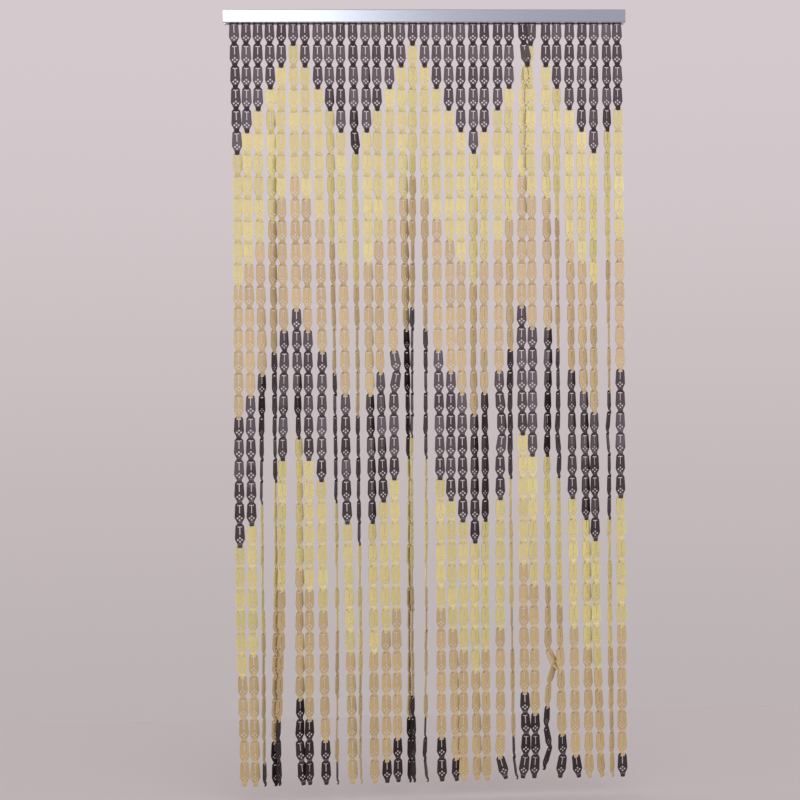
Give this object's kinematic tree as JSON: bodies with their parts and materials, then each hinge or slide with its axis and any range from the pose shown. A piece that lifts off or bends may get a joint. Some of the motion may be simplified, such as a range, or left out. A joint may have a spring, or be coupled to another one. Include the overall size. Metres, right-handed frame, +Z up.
{
  "type": "string curtain with rail",
  "caption": "Door curtain of hanging chains of flat openwork plastic links in a three-colour zigzag, on an open aluminium channel rail.",
  "frame": {"origin": "middle of the rail's back face, which lies against the wall", "axes": "+Z up; +Y into the wall, so the curtain's front looks along -Y; +X to the right along the rail, seen from the front"},
  "size_m": [0.92, 0.024, 1.7799],
  "materials": {
    "rail_aluminium": "satin",
    "link_plastic": "glossy moulded plastic in dark brown, pale yellow and tan bands"
  },
  "bodies": {
    "root": {"rail": "rail_aluminium", "strand_00": "link_plastic", "strand_01": "link_plastic", "strand_02": "link_plastic", "strand_03": "link_plastic", "strand_04": "link_plastic", "strand_05": "link_plastic", "strand_06": "link_plastic", "strand_07": "link_plastic", "strand_08": "link_plastic", "strand_09": "link_plastic", "strand_10": "link_plastic", "strand_11": "link_plastic", "strand_12": "link_plastic", "strand_13": "link_plastic", "strand_14": "link_plastic", "strand_15": "link_plastic", "strand_16": "link_plastic", "strand_17": "link_plastic", "strand_18": "link_plastic", "strand_19": "link_plastic", "strand_20": "link_plastic", "strand_21": "link_plastic", "strand_22": "link_plastic", "strand_23": "link_plastic", "strand_24": "link_plastic", "strand_25": "link_plastic", "strand_26": "link_plastic", "strand_27": "link_plastic", "strand_28": "link_plastic", "strand_29": "link_plastic", "strand_30": "link_plastic", "strand_31": "link_plastic", "strand_32": "link_plastic"}
  },
  "joints": []
}
